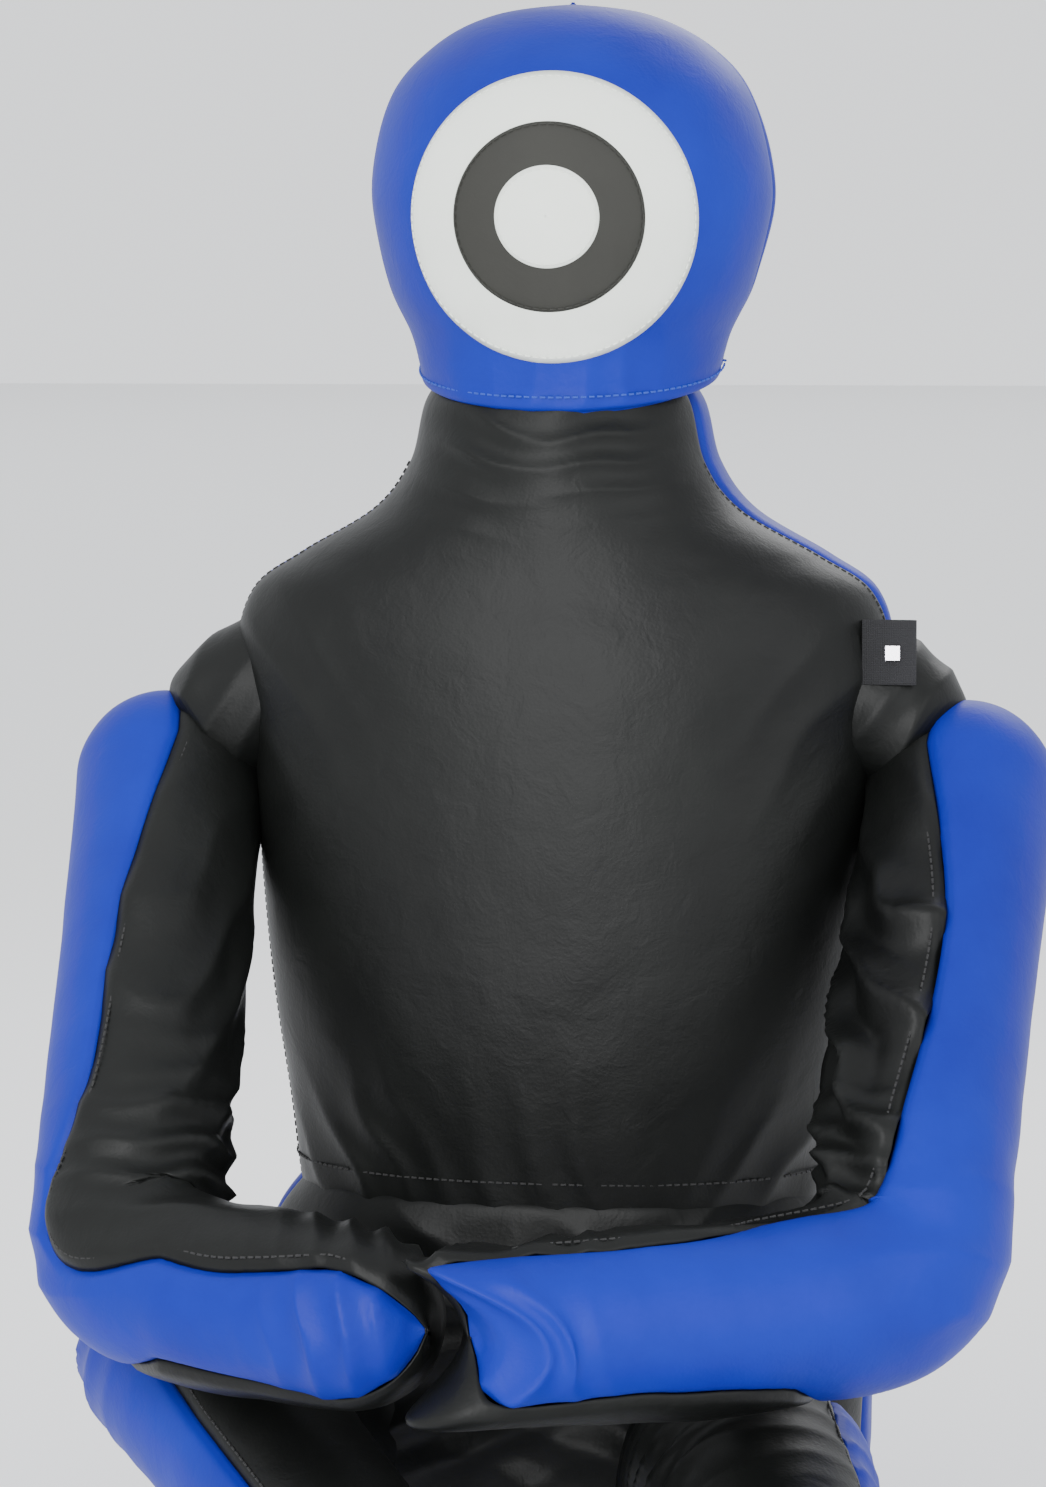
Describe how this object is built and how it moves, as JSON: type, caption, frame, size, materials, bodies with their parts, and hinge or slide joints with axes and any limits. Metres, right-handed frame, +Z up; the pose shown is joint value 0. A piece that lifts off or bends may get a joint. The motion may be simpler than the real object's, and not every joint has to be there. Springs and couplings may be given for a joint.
{
  "type": "grappling dummy",
  "caption": "Seated stuffed grappling dummy with jointed arms and legs, leather panels, a round target head and hands meeting in front.",
  "frame": {"origin": "on the flat underside of the seat, midway between the hips, at floor height", "axes": "+Z up through the head, -Y the way the dummy faces, +X to the dummy's own left"},
  "size_m": [0.5546, 0.635, 0.9205],
  "materials": {
    "black_leather": "smooth synthetic leather, soft sheen",
    "blue_leather": "smooth synthetic leather, soft sheen",
    "stuffing": "packed textile waste",
    "target_white": "matt sewn-on synthetic leather",
    "target_black": "matt sewn-on synthetic leather",
    "webbing": "woven polyester tape",
    "zip_metal": "brushed nickel plate",
    "rivet": "polished rivet"
  },
  "bodies": {
    "pelvis": {"pelvis_front_panel": "black_leather", "pelvis_back_panel": "blue_leather", "pelvis_stuffing": "stuffing"},
    "torso": {"torso_front_panel": "black_leather", "torso_back_panel": "blue_leather", "torso_stuffing": "stuffing", "neck_stuffing": "stuffing", "zip_tape": "webbing", "shoulder_tab": "webbing", "tab_rivet": "rivet"},
    "head": {"head_cover": "blue_leather", "head_stuffing": "stuffing", "target_outer": "target_white", "target_ring": "target_black", "target_centre": "target_white"},
    "zip_slider": {"zip_slider": "zip_metal", "zip_pull": "zip_metal"},
    "upper_arm_r": {"upper_arm_inner_panel_r": "black_leather", "upper_arm_outer_panel_r": "blue_leather", "upper_arm_stuffing_r": "stuffing"},
    "forearm_r": {"forearm_inner_panel_r": "black_leather", "forearm_outer_panel_r": "blue_leather", "forearm_stuffing_r": "stuffing"},
    "thigh_r": {"thigh_inner_panel_r": "black_leather", "thigh_outer_panel_r": "blue_leather", "thigh_stuffing_r": "stuffing"},
    "shin_r": {"shin_inner_panel_r": "black_leather", "shin_outer_panel_r": "blue_leather", "shin_stuffing_r": "stuffing"},
    "upper_arm_l": {"upper_arm_inner_panel_l": "black_leather", "upper_arm_outer_panel_l": "blue_leather", "upper_arm_stuffing_l": "stuffing"},
    "forearm_l": {"forearm_inner_panel_l": "black_leather", "forearm_outer_panel_l": "blue_leather", "forearm_stuffing_l": "stuffing"},
    "thigh_l": {"thigh_inner_panel_l": "black_leather", "thigh_outer_panel_l": "blue_leather", "thigh_stuffing_l": "stuffing"},
    "shin_l": {"shin_inner_panel_l": "black_leather", "shin_outer_panel_l": "blue_leather", "shin_stuffing_l": "stuffing"}
  },
  "joints": [
    {"name": "waist_bend", "type": "hinge", "parent": "pelvis", "child": "torso", "pos_m": [0, 0, 0.25], "axis": [-1, 0, 0], "range_deg": [0, 10]},
    {"name": "neck_nod", "type": "hinge", "parent": "torso", "child": "head", "pos_m": [0, 0, 0.66], "axis": [1, 0, 0], "range_deg": [-15, 15]},
    {"name": "zip_travel", "type": "slide", "parent": "torso", "child": "zip_slider", "axis": [0, 0, -1], "range_m": [0, 0.16]},
    {"name": "shoulder_r", "type": "hinge", "parent": "torso", "child": "upper_arm_r", "pos_m": [-0.228, -0.015, 0.475], "axis": [-1, 0, 0], "range_deg": [0, 60]},
    {"name": "elbow_r", "type": "hinge", "parent": "upper_arm_r", "child": "forearm_r", "pos_m": [-0.206, -0.24, 0.24], "axis": [0, 0, -1], "range_deg": [0, 60]},
    {"name": "hip_r", "type": "hinge", "parent": "pelvis", "child": "thigh_r", "pos_m": [-0.095, 0, 0.08], "axis": [0, 0, -1], "range_deg": [0, 15]},
    {"name": "knee_r", "type": "hinge", "parent": "thigh_r", "child": "shin_r", "pos_m": [-0.198, -0.135, 0.18], "axis": [0.6306, 0.0899, 0.7709], "range_deg": [0, 20]},
    {"name": "shoulder_l", "type": "hinge", "parent": "torso", "child": "upper_arm_l", "pos_m": [0.228, -0.015, 0.475], "axis": [-1, 0, 0], "range_deg": [0, 60]},
    {"name": "elbow_l", "type": "hinge", "parent": "upper_arm_l", "child": "forearm_l", "pos_m": [0.206, -0.24, 0.24], "axis": [0, 0, 1], "range_deg": [0, 60]},
    {"name": "hip_l", "type": "hinge", "parent": "pelvis", "child": "thigh_l", "pos_m": [0.095, 0, 0.08], "axis": [0, 0, 1], "range_deg": [0, 15]},
    {"name": "knee_l", "type": "hinge", "parent": "thigh_l", "child": "shin_l", "pos_m": [0.13, -0.205, 0.125], "axis": [0.9539, 0.21, 0.2146], "range_deg": [0, 20]}
  ]
}
